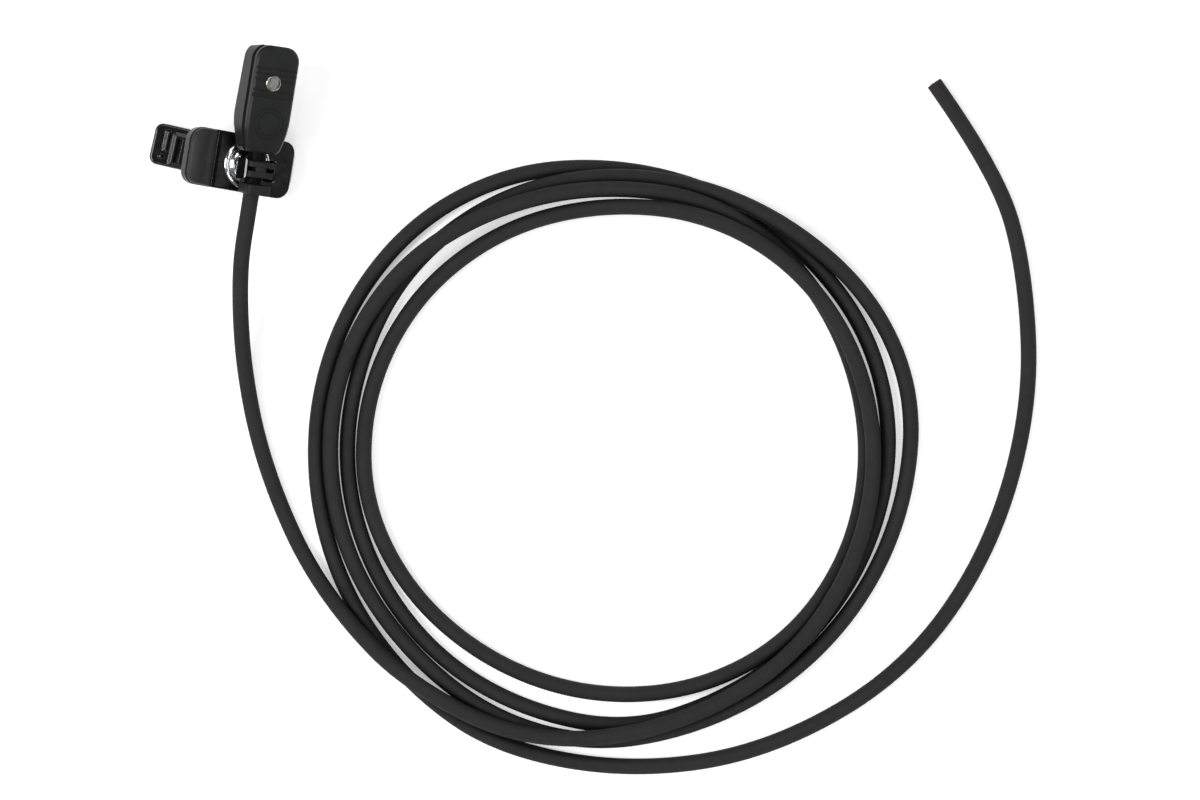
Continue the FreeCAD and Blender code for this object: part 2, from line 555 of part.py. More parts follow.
leg_lo_a = V(PIN_X - 0.15, y_lo, PIN_Z - SPRING_MEAN_R)
leg_lo_b = V(PIN_X - 2.9, y_lo, ARM_T + SPRING_WIRE_R + 0.03)
leg_up_a = V(PIN_X - 0.55, y_up, PIN_Z + SPRING_MEAN_R - 0.15)
under = LEVER.multVec(V(-1.9, 0, -PAD_T - LEVER_T - SPRING_WIRE_R - 0.05))
leg_up_b = V(under.x, y_up, under.z)
spring = spring.fuse(rod(leg_lo_a, leg_lo_b, SPRING_WIRE_R * 0.98)).fuse(rod(leg_up_a, leg_up_b, SPRING_WIRE_R * 0.98))
keep("torsion_spring", spring)

# --------------------------------------------------------------------- cable
# Route of the free cable, in the drawing's own coordinates. The first points
# leave the strain relief, fall to the table and climb over the coil; the last
# ones leave the coil along the table.
EXIT = MIC.multVec(V(0, EXIT_Y, 0))
LEAD_ROUTE = [
    tuple(EXIT),
    tuple(MIC.multVec(V(0, EXIT_Y - 3.30, 0))),
    (1.30, -12.10, 6.65),
    (1.72, -16.56, 5.20),
    (2.60, -21.79, 3.42),
    (3.94, -27.20, 1.76),
    (6.28, -33.83, 1.05),
    (9.86, -40.93, 1.06),
    (14.89, -48.57, 1.15),
    (20.80, -54.20, 2.45),
    (27.60, -58.60, 3.40),
]
TAIL_ROUTE = [
    (25.20, -56.90, 1.02),
    (31.12, -62.40, 1.00),
    (42.69, -67.72, 1.02),
    (59.17, -67.98, 1.00),
    (75.38, -62.86, 1.02),
    (90.52, -50.79, 1.00),
    (98.82, -34.48, 1.02),
    (101.24, -15.42, 1.00),
    (97.74, 1.71, 1.02),
    (92.00, 13.50, 1.00),
    (82.89, 22.81, 1.02),
]


def cord_tube(route, label):
    pts = [V(*p) for p in route]
    edges = []
    start = pts[0]
    worst = 1e9
    length = 0.0
    for i in range(1, len(pts) - 1):
        a = pts[i].sub(pts[i - 1])
        b = pts[i + 1].sub(pts[i])
        la, lb = a.Length, b.Length
        a.normalize()
        b.normalize()
        turn = math.acos(max(-1.0, min(1.0, a.dot(b))))
        half = math.tan(turn / 2)
        cutback = 0.45 * min(la, lb)
        r = cutback / half
        worst = min(worst, r)
        t0 = pts[i].sub(V(a.x, a.y, a.z).multiply(cutback))
        t1 = pts[i].add(V(b.x, b.y, b.z).multiply(cutback))
        bis = V(b.x - a.x, b.y - a.y, b.z - a.z)
        bis.normalize()
        centre = pts[i].add(V(bis.x, bis.y, bis.z).multiply(r / math.cos(turn / 2)))
        mid = centre.sub(V(bis.x, bis.y, bis.z).multiply(r))
        edges.append(Part.LineSegment(start, t0).toShape())
        edges.append(Part.Arc(t0, mid, t1).toShape())
        length += start.distanceToPoint(t0) + r * turn
        start = t1
    edges.append(Part.LineSegment(start, pts[-1]).toShape())
    length += start.distanceToPoint(pts[-1])
    path = Part.Wire(edges)
    d0 = pts[1].sub(pts[0])
    profile = Part.Wire(Part.makeCircle(CORD_R, pts[0], d0))
    s = path.makePipeShell([profile], True, False)
    if not s.isValid():
        s.fix(1e-4, 1e-4, 1e-3)
    solid = Part.Solid(s) if s.ShapeType == "Shell" else s
    print("%s: length %.1f, smallest radius %.1f, volume %.1f against %.1f, valid %s"
          % (label, length, worst, solid.Volume, math.pi * CORD_R ** 2 * length, solid.isValid()))
    return solid


keep("cord_lead", cord_tube(LEAD_ROUTE, "cord_lead"))
keep("cord_tail", cord_tube(TAIL_ROUTE, "cord_tail"))

# Loose coil of four turns, as one ring of their outer shape. Outline as
# radii in millimetres from the coil's centre every 15 degrees, from +X
# towards +Y.
COIL_X, COIL_Y = 50.69, -29.20
OUTER = [37.5, 38.4, 38.5, 37.9, 36.8, 36.1, 36.3, 37.1, 38.1, 38.6, 38.6, 38.5,
         38.4, 38.3, 38.4, 38.7, 38.7, 38.0, 37.0, 36.5, 36.0, 36.0, 36.2, 36.8]
INNER = [30.3, 30.4, 30.6, 31.0, 30.8, 30.4, 29.8, 29.6, 29.7, 29.8, 30.0, 30.1,
         30.2, 30.1, 29.7, 29.1, 28.7, 28.6, 28.7, 29.0, 29.5, 29.9, 30.3, 30.3]


def closed_curve(radii):
    pts = []
    for i, r in enumerate(radii):
        a = deg(15.0 * i)
        pts.append(V(COIL_X + r * math.cos(a), COIL_Y + r * math.sin(a), 0))
    c = Part.BSplineCurve()
    c.interpolate(Points=pts, PeriodicFlag=True)
    return Part.Wire(c.toShape())


coil = Part.Face(closed_curve(OUTER)).extrude(V(0, 0, COIL_H))
coil = coil.cut(Part.Face(closed_curve(INNER)).extrude(V(0, 0, COIL_H)))
coil = coil.makeFillet(1.3, top_edges(coil, COIL_H))
coil = coil.makeFillet(0.8, top_edges(coil, 0.0))
keep("cord_coil", coil)

# -------------------------------------------------------------------- export
low_x = low_y = 1e9
high_x = high_y = high_z = -1e9
for name, s in PIECES.items():
    ok = s.isValid()
    b = s.BoundBox
    if not name.startswith("cord_"):
        low_x, high_x = min(low_x, b.XMin), max(high_x, b.XMax)
        low_y, high_y = min(low_y, b.YMin), max(high_y, b.YMax)
        high_z = max(high_z, b.ZMax)
    print("%-18s solids %d valid %s vol %.3f z %.2f..%.2f" % (name, len(s.Solids), ok, s.Volume, b.ZMin, b.ZMax))
    s.exportStep("parts/%s.step" % name)
print("cable leaves at %.3f %.3f %.3f" % (EXIT.x, EXIT.y, EXIT.z))
print("without the cable: x %.3f..%.3f y %.3f..%.3f z up to %.3f; centre %.3f %.3f"
      % (low_x, high_x, low_y, high_y, high_z, (low_x + high_x) / 2, (low_y + high_y) / 2))
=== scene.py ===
import math

import bmesh
import bpy
from mathutils import Matrix, Vector


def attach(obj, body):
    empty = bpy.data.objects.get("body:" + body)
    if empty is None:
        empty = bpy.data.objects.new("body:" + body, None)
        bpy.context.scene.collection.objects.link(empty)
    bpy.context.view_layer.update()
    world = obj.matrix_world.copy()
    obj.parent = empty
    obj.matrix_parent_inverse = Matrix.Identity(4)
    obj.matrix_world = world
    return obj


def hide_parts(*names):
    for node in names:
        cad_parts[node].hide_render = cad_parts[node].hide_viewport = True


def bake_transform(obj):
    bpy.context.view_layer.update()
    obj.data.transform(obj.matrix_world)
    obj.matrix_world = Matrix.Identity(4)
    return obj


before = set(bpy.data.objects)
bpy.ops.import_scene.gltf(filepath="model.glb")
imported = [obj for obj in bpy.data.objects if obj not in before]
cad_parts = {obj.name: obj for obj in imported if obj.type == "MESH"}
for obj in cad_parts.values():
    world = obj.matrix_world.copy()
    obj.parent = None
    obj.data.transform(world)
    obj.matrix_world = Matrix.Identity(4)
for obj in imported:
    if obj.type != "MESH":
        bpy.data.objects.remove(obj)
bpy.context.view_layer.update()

# The drawing's coordinates (millimetres) of the row origin, and its frames:
# the same numbers as in the construction.
OX, OY = -3.431, 4.826
CLIP_Y = -0.80
PIN_X, PIN_Z = -2.3, 3.4
ARM_T = 1.2
HT = 1.90           # half of the microphone's thickness
PORT_T, PORT_Y = -0.22, 9.36


def R(x, y, z=0.0):
    """A point of the drawing, in metres of the row's frame."""
    return Vector(((x - OX) / 1000.0, (y - OY) / 1000.0, z / 1000.0))


def sloped(x, y, z, slope):
    return Matrix.Translation((x, y, z)) @ Matrix.Rotation(math.radians(slope), 4, "Y")


JAW = sloped(0.15, CLIP_Y, 5.56, 28.5)
SWIVEL = JAW @ Matrix.Rotation(math.radians(2.2), 4, "Z")
MIC = SWIVEL @ Matrix.Translation((0.0, 0.17, 2.64)) @ Matrix.Rotation(math.radians(4.9), 4, "X") @ Matrix.Translation((0.0, 0.80, 0.0))
BEND = JAW @ Vector((-3.9, 0.0, 0.0))
LEVER = sloped(BEND.x, BEND.y, BEND.z, 36.0)
TABLE = Matrix.Identity(4)

scene = bpy.context.scene
scene.view_settings.view_transform = "Standard"
scene.view_settings.look = "None"
scene.view_settings.exposure = 0.0
scene.view_settings.gamma = 1.0


def add(name, data):
    o = bpy.data.objects.new(name, data)
    scene.collection.objects.link(o)
    return o


# ------------------------------------------------------------ mesh builders
def finish_mesh(name, verts, faces, place, sharp=None):
    """An object from points of the drawing's frame `place`, in millimetres."""
    me = bpy.data.meshes.new(name)
    me.from_pydata([R(*(place @ Vector(v))) for v in verts], [], faces)
    bm = bmesh.new()
    bm.from_mesh(me)
    bmesh.ops.remove_doubles(bm, verts=bm.verts, dist=1e-9)
    bmesh.ops.recalc_face_normals(bm, faces=bm.faces)
    bm.to_mesh(me)
    bm.free()
    me.polygons.foreach_set("use_smooth", [True] * len(me.polygons))
    if sharp:
        me.set_sharp_from_angle(angle=math.radians(sharp))
    me.update()
    return add(name, me)


def loft(rings, closed_path=False, cap=True):
    """Vertices and quads of a skin over closed rings of equal count."""
    n = len(rings[0])
    verts = [tuple(p) for r in rings for p in r]
    faces = []
    last = len(rings) if closed_path else len(rings) - 1
    for i in range(last):
        a, b = i * n, ((i + 1) % len(rings)) * n
        for k in range(n):
            k2 = (k + 1) % n
            faces.append((a + k, a + k2, b + k2, b + k))
    if cap and not closed_path:
        faces.append(tuple(range(n))[::-1])
        faces.append(tuple((len(rings) - 1) * n + k for k in range(n)))
    return verts, faces


def tube_along(points, radius, sides=12, ends=True):
    """Round wire along a polyline of Vectors, with slightly domed ends."""
    rings = []
    m = len(points)
    tang = []
    for i in range(m):
        a = points[max(0, i - 1)]
        b = points[min(m - 1, i + 1)]
        tang.append((b - a).normalized())
    ref = Vector((0, 0, 1)) if abs(tang[0].z) < 0.9 else Vector((1, 0, 0))
    u = tang[0].cross(ref).normalized()
    for i in range(m):
        t = tang[i]
        u = (u - t * u.dot(t)).normalized()
        v = t.cross(u)
        rings.append((points[i], u.copy(), v, t))
    out = []
    if ends:
        p, u, v, t = rings[0]
        for s, c in ((0.35, 0.55), (0.75, 0.22)):
            out.append([p - t * radius * c * 0.6 + (u * math.cos(2 * math.pi * k / sides) + v * math.sin(2 * math.pi * k / sides)) * radius * s for k in range(sides)])
    for p, u, v, t in rings:
        out.append([p + (u * math.cos(2 * math.pi * k / sides) + v * math.sin(2 * math.pi * k / sides)) * radius for k in range(sides)])
    if ends:
        p, u, v, t = rings[-1]
        for s, c in ((0.75, 0.22), (0.35, 0.55)):
            out.append([p + t * radius * c * 0.6 + (u * math.cos(2 * math.pi * k / sides) + v * math.sin(2 * math.pi * k / sides)) * radius * s for k in range(sides)])
    return loft(out)


def merged(parts):
    verts, faces = [], []
    for v, f in parts:
        k = len(verts)
        verts += list(v)
        faces += [tuple(i + k for i in face) for face in f]
    return verts, faces


def rounded_polygon(corners, steps=6, runs=None):
    """Outline of a polygon with each corner (x, y, radius) rounded. runs gives
    the number of extra points on the side that follows a corner."""
    out = []
    n = len(corners)
    for i, (x, y, r) in enumerate(corners):
        p = Vector((x, y))
        a = (Vector(corners[i - 1][:2]) - p).normalized()
        b = (Vector(corners[(i + 1) % n][:2]) - p).normalized()
        half = math.acos(max(-1.0, min(1.0, a.dot(b)))) / 2
        cut = r / math.tan(half)
        c = p + (a + b).normalized() * (r / math.sin(half))
        p0, p1 = p + a * cut, p + b * cut
        v0, v1 = p0 - c, p1 - c
        ang = math.atan2(v0.x * v1.y - v0.y * v1.x, v0.dot(v1))
        for k in range(steps + 1):
            t = ang * k / steps
            out.append(c + Vector((v0.x * math.cos(t) - v0.y * math.sin(t), v0.x * math.sin(t) + v0.y * math.cos(t))))
        extra = (runs or {}).get(i, 0)
        if extra:
            q, qn, rn = p1, Vector(corners[(i + 1) % n][:2]), corners[(i + 1) % n][2]
            a2 = (p - qn).normalized()
            b2 = (Vector(corners[(i + 2) % n][:2]) - qn).normalized()
            h2 = math.acos(max(-1.0, min(1.0, a2.dot(b2)))) / 2
            end = qn + a2 * (rn / math.tan(h2))
            for k in range(1, extra + 1):
                out.append(q.lerp(end, k / (extra + 1)))
    return out


# ------------------------------------------------------------------ camera
cam_data = bpy.data.cameras.new("camera")
cam_data.lens = 150.0
cam_data.sensor_width = 36.0
cam_data.clip_start = 0.05
cam_data.clip_end = 20.0
cam = add("camera", cam_data)
cam.location = R(47.90, -22.787, 625.0)
cam.rotation_euler = (0.0, 0.0, math.radians(9.0))
scene.camera = cam

# ------------------------------------------------------------------- cord
# The route: straight out of the strain relief, down to the table, over the
# coil, four loose turns that lie over and beside each other, and the tail.
CORD = [
    (1.377, -4.433, 7.527), (1.353, -7.719, 7.219), (1.30, -12.10, 6.65), (1.72, -16.56, 5.20),
    (2.60, -21.79, 3.42), (3.94, -27.20, 1.76), (6.28, -33.83, 1.02), (9.86, -40.93, 1.06),
    (14.89, -48.57, 1.05), (21.56, -55.29, 2.61), (29.20, -60.84, 3.39), (42.28, -65.76, 2.53),
    (55.24, -64.58, 4.34), (67.39, -58.86, 4.11), (76.99, -50.14, 3.37), (82.57, -37.86, 3.88),
    (83.32, -24.77, 2.71), (78.79, -12.13, 3.08), (69.69, -2.49, 3.75), (57.32, 2.17, 6.31),
    (44.15, 1.36, 4.30), (32.20, -3.69, 1.34), (23.10, -13.41, 1.00), (18.94, -26.08, 1.33),
    (20.40, -39.32, 1.73), (27.93, -50.29, 1.00), (39.34, -57.28, 1.07), (52.33, -59.61, 1.01),
    (65.41, -56.76, 1.00), (76.00, -48.77, 2.62), (81.88, -36.80, 1.60), (82.24, -23.54, 1.00),
    (77.51, -11.13, 1.00), (68.67, -1.21, 1.80), (56.82, 4.04, 4.84), (43.36, 3.50, 4.47),
    (31.13, -1.13, 3.02), (20.92, -9.70, 3.28), (15.37, -21.82, 1.97), (15.24, -35.05, 2.36),
    (19.91, -47.60, 1.41), (28.76, -57.22, 1.98), (40.36, -64.04, 1.00), (53.36, -65.58, 1.70),
    (65.95, -61.21, 2.62), (76.63, -53.43, 1.83), (84.10, -42.45, 1.48), (87.56, -29.82, 1.00),
    (86.65, -16.28, 1.05), (79.81, -5.19, 1.01), (68.54, 2.20, 3.05), (56.02, 5.73, 3.16),
    (42.61, 4.99, 3.04), (30.67, -0.16, 1.00), (21.43, -9.97, 1.03), (17.27, -22.46, 1.00),
    (17.43, -35.85, 1.01), (22.64, -47.93, 1.00), (32.12, -57.46, 1.00), (44.21, -62.46, 1.00),
    (57.76, -63.08, 1.00), (69.46, -57.10, 1.00), (78.95, -47.63, 1.00), (84.20, -35.60, 1.00),
    (84.91, -22.23, 1.00), (80.20, -9.79, 1.00), (70.75, -0.47, 1.00), (58.72, 5.19, 1.00),
    (45.62, 6.52, 1.00), (32.58, 3.70, 1.00), (21.85, -4.08, 1.00), (15.09, -15.61, 1.00),
    (12.84, -28.62, 1.00), (15.05, -41.71, 1.00), (21.29, -53.35, 1.00), (31.12, -62.40, 1.00),
    (42.69, -67.72, 1.00), (59.17, -67.98, 1.00), (75.38, -62.86, 1.00), (90.52, -50.79, 1.00),
    (98.82, -34.48, 1.00), (101.24, -15.42, 1.00), (97.74, 1.71, 1.00), (92.36, 13.10, 1.00),
    (82.89, 22.81, 1.00),
]
CORD_R = 0.001
curve = bpy.data.curves.new("cable", "CURVE")
curve.dimensions = "3D"
sp = curve.splines.new("NURBS")
sp.points.add(len(CORD) - 1)
for p, c in zip(sp.points, CORD):
    p.co = (*R(*c), 1.0)
sp.order_u = 3
sp.use_endpoint_u = True
sp.resolution_u = 14
curve.bevel_depth = CORD_R
curve.bevel_resolution = 7
curve.use_fill_caps = True
cord = add("cable", curve)

# ------------------------------------------------------------- soft pieces
PAD_MID, PAD_HALF = 0.065, 3.525


def pad_section(across):
    """Outline of the thumb pad across its width, in the lever's frame: a
    crowned top and full round edges, on the lever's flat."""
    y = across - PAD_MID
    w = PAD_HALF
    edge = 0.36
    a = max(0.0, abs(y) - (w - edge)) / edge
    drop = edge * (1 - math.sqrt(max(0.0, 1 - a * a)))
    cr = 1.82 if y > 0 else 1.52
    c = max(0.0, abs(y) - (w - cr)) / cr
    corner = cr * (1 - math.sqrt(max(0.0, 1 - c * c)))
    xl, xr = -3.885 + corner, -0.550 - 0.15 * drop
    zt = -0.20 - drop - 0.05 * (y / w) ** 2
    pts = rounded_polygon(
        [(xl, zt, 0.32), (xl, -0.899, 0.07), (xr, -0.899, 0.07), (xr, zt, 0.13)],
        7, {0: 3, 1: 8, 2: 3, 3: 30})
    out = []
    for p in pts:
        x, z = p.x, p.y
        s = (x - xl) / (xr - xl)
        if z > -0.80:
            k = min(1.0, (z + 0.80) / 0.35)
            bow = 0.23 * (1 - (2 * s - 1) ** 2) * (1 - 0.35 * (y / w) ** 2)
            dip = 0.05 * math.exp(-((x + 2.1) / 0.8) ** 2 - (y / 1.7) ** 2)
            rise = max(0.0, (s - 0.62) / 0.38)
            z += k * (bow - dip + 0.15 * rise * rise * (3 - 2 * rise))
        out.append((x, across, z))
    return out


stations = []
for i in range(61):
    u = -1 + 2 * i / 60
    # closer stations near the two edges
    stations.append(PAD_MID + PAD_HALF * (math.sin(u * math.pi / 2) * 0.35 + u * 0.65))
stations[0], stations[-1] = PAD_MID - PAD_HALF + 0.001, PAD_MID + PAD_HALF - 0.001
pad = finish_mesh("thumb_pad_cover", *loft([pad_section(y) for y in stations]), LEVER, sharp=50)

# Slotted strain relief: broad ribs on a round core, moulded in one piece.
SIDES = 144


def polar_block(w, n0, n1, r_low, r_high, core):
    """Radii about the cable's axis of a rounded block joined to a round core."""
    out = []
    for k in range(SIDES):
        a = 2 * math.pi * k / SIDES
        c, s = math.cos(a), math.sin(a)

        def inside(q):
            x, n = abs(q * c), q * s
            r = r_high if n > 0 else r_low
            if x > w / 2 or n > n1 or n < n0:
                return False
            ex = x - (w / 2 - r)
            en = (n - (n1 - r)) if n > 0 else ((n0 + r) - n)
            return not (ex > 0 and en > 0 and ex * ex + en * en > r * r)

        lo, hi = 0.1, 4.0
        for _ in range(26):
            mid = (lo + hi) / 2
            if inside(mid):
                lo = mid
            else:
                hi = mid
        out.append(max(core, lo))
    return out


CORE = [1.145] * SIDES
MAIN = polar_block(3.36, -1.22, 2.04, 0.50, 0.34, 1.145)
NECKED = polar_block(1.44, -1.21, 2.00, 0.30, 0.30, 1.145)
LOWER = polar_block(3.00, -1.24, 2.29, 0.60, 0.34, 1.145)


def relief_ring(y, radii):
    return [(r * math.cos(2 * math.pi * k / SIDES), y, r * math.sin(2 * math.pi * k / SIDES)) for k, r in enumerate(radii)]


def step(rings, y0, base, top, up, rho=0.13):
    """End face of a rib at y0, its outer edge rounded; up when the rib begins."""
    seq = []
    span = 8
    sgn = -1.0
    for i in range(span + 1):
        t = math.pi / 2 * i / span
        d = rho * (1 - math.cos(t))
        h = rho * (1 - math.sin(t))
        rr = [max(b, tp - h * min(1.0, (tp - b) / rho)) if tp > b else b for b, tp in zip(base, top)]
        seq.append((d, rr))
    fillet = [(-0.07, base), (-0.02, [b + 0.02 * min(1.0, max(0.0, t - b) / 0.1) for b, t in zip(base, top)]),
              (0.0, [b + 0.07 * min(1.0, max(0.0, t - b) / 0.2) for b, t in zip(base, top)])]
    # the face itself, from the core outward
    faces = []
    for f in (0.35, 0.7):
        faces.append((0.0, [b + (s - b) * f if s > b + 0.07 else b + (s - b) for b, s in zip([x + 0.07 for x in base], seq[0][1])]))
    whole = fillet + faces + seq
    if not up:
        whole = whole[::-1]
    for d, rr in whole:
        yy = y0 + (sgn * d if up else -sgn * d)
        rings.append(relief_ring(yy, rr))


rr_rings = []
rr_rings.append(relief_ring(1.70, CORE))
rr_rings.append(relief_ring(1.00, CORE))
rr_rings.append(relief_ring(0.60, CORE))
for y in (0.30, 0.05, -0.18):
    rr_rings.append(relief_ring(y, CORE))
step(rr_rings, -0.40, CORE, MAIN, True)
for y in (-0.62, -0.78, -0.92):
    rr_rings.append(relief_ring(y, MAIN))
step(rr_rings, -1.10, NECKED, MAIN, False, 0.09)
rr_rings.append(relief_ring(-1.36, NECKED))
step(rr_rings, -1.62, NECKED, MAIN, True, 0.09)
for y in (-1.82, -2.00, -2.18):
    rr_rings.append(relief_ring(y, MAIN))
step(rr_rings, -2.40, CORE, MAIN, False)
for y in (-2.66, -2.84, -3.02):
    rr_rings.append(relief_ring(y, CORE))
step(rr_rings, -3.27, CORE, LOWER, True)
for y in (-3.52, -3.90, -4.22):
    rr_rings.append(relief_ring(y, LOWER))
step(rr_rings, -4.52, CORE, LOWER, False)
for y, r in ((-4.59, 1.135), (-4.612, 1.12), (-4.62, 1.08), (-4.615, 1.04), (-4.59, 1.012), (-4.42, 1.008)):
    rr_rings.append(relief_ring(y, [r] * SIDES))
for y in (-3.0, -1.0, 1.0, 1.70):
    rr_rings.append(relief_ring(y, [1.008] * SIDES))
relief = finish_mesh("strain_relief_sleeve", *loft(rr_rings, closed_path=True), MIC, sharp=55)

# ------------------------------------------------------- torsion spring
WIRE = 0.165
MEAN = 0.85
PITCH = 0.37
TURNS = 5


def tangent_point(px, pz, side):
    """Where a line from (px, pz) touches the coil's circle, above or below."""
    dx, dz = PIN_X - px, PIN_Z - pz
    d = math.hypot(dx, dz)
    base = math.atan2(dz, dx)
    off = math.asin(MEAN / d)
    a = base + side * off
    t = math.sqrt(d * d - MEAN * MEAN)
    return px + t * math.cos(a), pz + t * math.sin(a)


y_lo = CLIP_Y - 2.5 * PITCH
y_up = CLIP_Y + 2.5 * PITCH
up_end = LEVER @ Vector((-1.9, 0, -0.9 - 1.1 - WIRE - 0.12))
lo_end = Vector((PIN_X - 2.9, 0, ARM_T + WIRE + 0.03))
ux, uz = tangent_point(up_end.x, up_end.z, 1)
lx, lz = tangent_point(lo_end.x, lo_end.z, -1)
a_up = math.atan2(uz - PIN_Z, ux - PIN_X)
a_lo = math.atan2(lz - PIN_Z, lx - PIN_X)
sweep = (a_lo - a_up) % (2 * math.pi) - 2 * math.pi
sweep -= 2 * math.pi * (TURNS - 1 if sweep < -math.pi * 1.2 else TURNS)
path = []
for k in range(9):
    f = k / 8
    path.append(Vector((up_end.x + (ux - up_end.x) * f, y_up, up_end.z + (uz - up_end.z) * f)))
steps = 44 * TURNS
for k in range(1, steps):
    f = k / steps
    a = a_up + sweep * f
    path.append(Vector((PIN_X + MEAN * math.cos(a), y_up + (y_lo - y_up) * f, PIN_Z + MEAN * math.sin(a))))
for k in range(9):
    f = k / 8
    path.append(Vector((lx + (lo_end.x - lx) * f, y_lo, lz + (lo_end.z - lz) * f)))
spring = finish_mesh("torsion_spring_coil", *tube_along(path, WIRE, 12), TABLE)

# ------------------------------------------------ woven mesh in the port
pitch_w = 0.118
wire_w = 0.024
rim_w = 0.69
mesh_n = HT - 0.33
parts = []
count = int(rim_w / pitch_w)
for way in (0, 1):
    for i in range(-count, count + 1):
        off = i * pitch_w
        if abs(off) > rim_w - 0.03:
            continue
        half = math.sqrt(rim_w ** 2 - off ** 2)
        n_pts = max(6, int(2 * half / (pitch_w / 6)))
        pts = []
        for k in range(n_pts + 1):
            s = -half + 2 * half * k / n_pts
            wave = wire_w * math.cos(math.pi * s / pitch_w + math.pi * (i + way))
            x, y = (s, off) if way == 0 else (off, s)
            # the sheet is pressed slightly hollow in its seat
            dish = -0.03 * (1 - (x * x + y * y) / rim_w ** 2)
            # woven at an angle to the body
            ca, sa = math.cos(math.radians(31)), math.sin(math.radians(31))
            pts.append(Vector((PORT_T + x * ca - y * sa, PORT_Y + x * sa + y * ca, mesh_n + wave + dish)))
        parts.append(tube_along(pts, wire_w, 6, ends=False))
weave = finish_mesh("port_mesh_weave", *merged(parts), MIC)


# --------------------------------------------------------------- materials
class Mat:
    def __init__(self, name):
        self.m = bpy.data.materials.new(name)
        self.m.use_nodes = True
        self.t = self.m.node_tree
        self.b = self.t.nodes["Principled BSDF"]
        self.x = -300

    def node(self, kind, **values):
        n = self.t.nodes.new(kind)
        n.location = (self.x, 0)
        self.x -= 180
        for k, v in values.items():
            if hasattr(n, k):
                setattr(n, k, v)
            else:
                n.inputs[k.replace("_", " ")].default_value = v
        return n

    def link(self, a, b):
        self.t.links.new(a, b)

    def set(self, **values):
        for k, v in values.items():
            self.b.inputs[k.replace("_", " ")].default_value = v

    def coords(self):
        return self.node("ShaderNodeTexCoord").outputs["Object"]

    def mapped(self, co, scale=(1, 1, 1), rotation=(0, 0, 0)):
        n = self.node("ShaderNodeMapping")
        n.inputs["Scale"].default_value = scale
        n.inputs["Rotation"].default_value = rotation
        self.link(co, n.inputs["Vector"])
        return n.outputs["Vector"]

    def noise(self, co, scale, detail=2.0, rough=0.5):
        n = self.node("ShaderNodeTexNoise")
        n.inputs["Scale"].default_value = scale
        n.inputs["Detail"].default_value = detail
        n.inputs["Roughness"].default_value = rough
        self.link(co, n.inputs["Vector"])
        return n.outputs["Fac"]

    def cells(self, co, scale):
        n = self.node("ShaderNodeTexVoronoi")
        n.inputs["Scale"].default_value = scale
        self.link(co, n.inputs["Vector"])
        return n.outputs["Distance"]

    def spread(self, value, lo, hi, a=0.3, b=0.7):
        n = self.node("ShaderNodeMapRange")
        n.inputs["From Min"].default_value = a
        n.inputs["From Max"].default_value = b
        n.inputs["To Min"].default_value = lo
        n.inputs["To Max"].default_value = hi
        self.link(value, n.inputs["Value"])
        return n.outputs["Result"]

    def ramp(self, value, stops):
        n = self.node("ShaderNodeValToRGB")
        e = n.color_ramp.elements
        while len(e) < len(stops):
            e.new(0.5)
        for s, (pos, col) in zip(e, stops):
            s.position = pos
            s.color = (*col, 1.0)
        self.link(value, n.inputs["Fac"])
        return n.outputs["Color"]

    def bump(self, height, strength, distance, normal=None):
        n = self.node("ShaderNodeBump")
        n.inputs["Strength"].default_value = strength
        n.inputs["Distance"].default_value = distance
        self.link(height, n.inputs["Height"])
        if normal is not None:
            self.link(normal, n.inputs["Normal"])
        return n.outputs["Normal"]

    def round_edges(self, radius, samples=6):
        n = self.node("ShaderNodeBevel")
        n.samples = samples
        n.inputs["Radius"].default_value = radius
        return n.outputs["Normal"]


def moulded(name, dark, light, rough, grain=9000.0, depth=0.000012, strength=0.35, edge=0.00008, spec=0.5,
            coat=0.0, coat_rough=0.1):
    """Moulded plastic or rubber: fine grain, faint cloudiness, uneven gloss."""
    m = Mat(name)
    co = m.coords()
    cloud = m.noise(co, 420.0, 3.0, 0.55)
    m.link(m.ramp(cloud, [(0.32, dark), (0.68, light)]), m.b.inputs["Base Color"])
    smear = m.noise(co, 1500.0, 4.0, 0.6)
    m.link(m.spread(smear, rough[0], rough[1]), m.b.inputs["Roughness"])
    fine = m.noise(co, grain, 2.0, 0.5)
    base = m.round_edges(edge) if edge else None
    m.link(m.bump(fine, strength, depth, base), m.b.inputs["Normal"])
    m.set(Specular_IOR_Level=spec)
    if coat:
        m.set(Coat_Weight=coat, Coat_Roughness=coat_rough)
    return m.m


def metal(name, base, rough, brushed=None, edge=0.00006, strength=0.15):
    m = Mat(name)
    co = m.coords()
    co2 = m.mapped(co, brushed) if brushed else co
    n1 = m.noise(co2, 2500.0, 4.0, 0.6)
    m.link(m.spread(n1, rough[0], rough[1]), m.b.inputs["Roughness"])
    tint = m.noise(co, 600.0, 2.0, 0.5)
    lo = tuple(c * 0.93 for c in base)
    m.link(m.ramp(tint, [(0.3, lo), (0.7, base)]), m.b.inputs["Base Color"])
    m.link(m.bump(n1, strength, 0.000004, m.round_edges(edge)), m.b.inputs["Normal"])
    m.set(Metallic=1.0)
    return m.m


